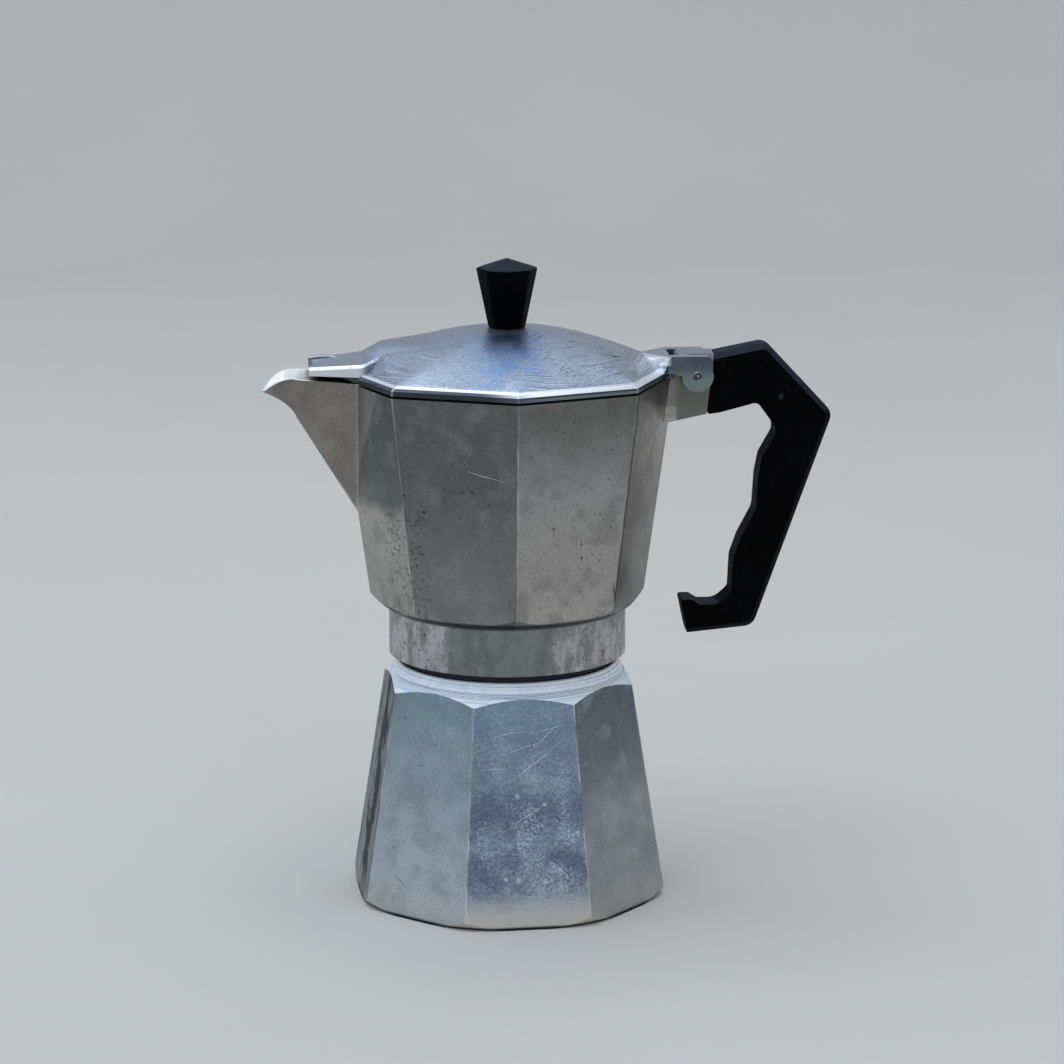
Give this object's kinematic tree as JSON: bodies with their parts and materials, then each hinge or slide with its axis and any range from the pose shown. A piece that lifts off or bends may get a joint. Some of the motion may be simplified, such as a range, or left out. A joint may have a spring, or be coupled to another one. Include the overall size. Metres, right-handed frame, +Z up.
{
  "type": "moka pot",
  "caption": "Eight-sided cast aluminium stove-top coffee pot: boiler with funnel and safety valve, and a collector screwed on top with spout, hinged lid and black plastic handle.",
  "frame": {"origin": "centre of the base, on the pot's axis, at table height", "axes": "+Z up, +X towards the handle, -X towards the spout"},
  "size_m": [0.1904, 0.113, 0.2169],
  "materials": {
    "boiler_cast": "satin, stained by use",
    "collector_cast": "satin, scratched",
    "lid_cast": "satin, lathe marks",
    "spun_aluminium": "satin",
    "steel": "bright",
    "brass": "dull",
    "seal_rubber": "matt",
    "black_plastic": "semi-gloss"
  },
  "bodies": {
    "boiler": {"boiler": "boiler_cast", "funnel": "spun_aluminium", "funnel_plate": "spun_aluminium", "valve_body": "brass", "valve_washer": "seal_rubber", "valve_cap": "brass", "valve_spring": "steel"},
    "seal": {"gasket": "seal_rubber", "filter_plate": "spun_aluminium"},
    "collector": {"collector": "collector_cast", "handle": "black_plastic", "handle_pin": "steel", "hinge_pin": "steel"},
    "lid": {"lid": "lid_cast", "knob": "black_plastic", "knob_insert": "brass", "knob_screw": "steel", "knob_washer": "steel"},
    "valve": {"valve_plunger": "brass", "valve_seal": "seal_rubber"}
  },
  "joints": [
    {"name": "collector_rise", "type": "slide", "parent": "boiler", "child": "seal", "axis": [0, 0, 1], "range_m": [0, 0.009]},
    {"name": "collector_turn", "type": "hinge", "parent": "seal", "child": "collector", "pos_m": [0, 0, 0.0915], "axis": [0, 0, 1], "range_deg": [0, 1080]},
    {"name": "lid_swing", "type": "hinge", "parent": "collector", "child": "lid", "pos_m": [0.063, 0, 0.1782], "axis": [0, 1, 0], "range_deg": [0, 104]},
    {"name": "valve_lift", "type": "slide", "parent": "boiler", "child": "valve", "axis": [-0.069, 0.9865, 0.1483], "range_m": [0, 0.0012], "stiffness_N_per_m": 2000, "deforming": ["valve_spring"]}
  ],
  "couplings": [
    {"joint": "collector_rise", "follows": "collector_turn", "m_per_rad": 0.00047746}
  ]
}
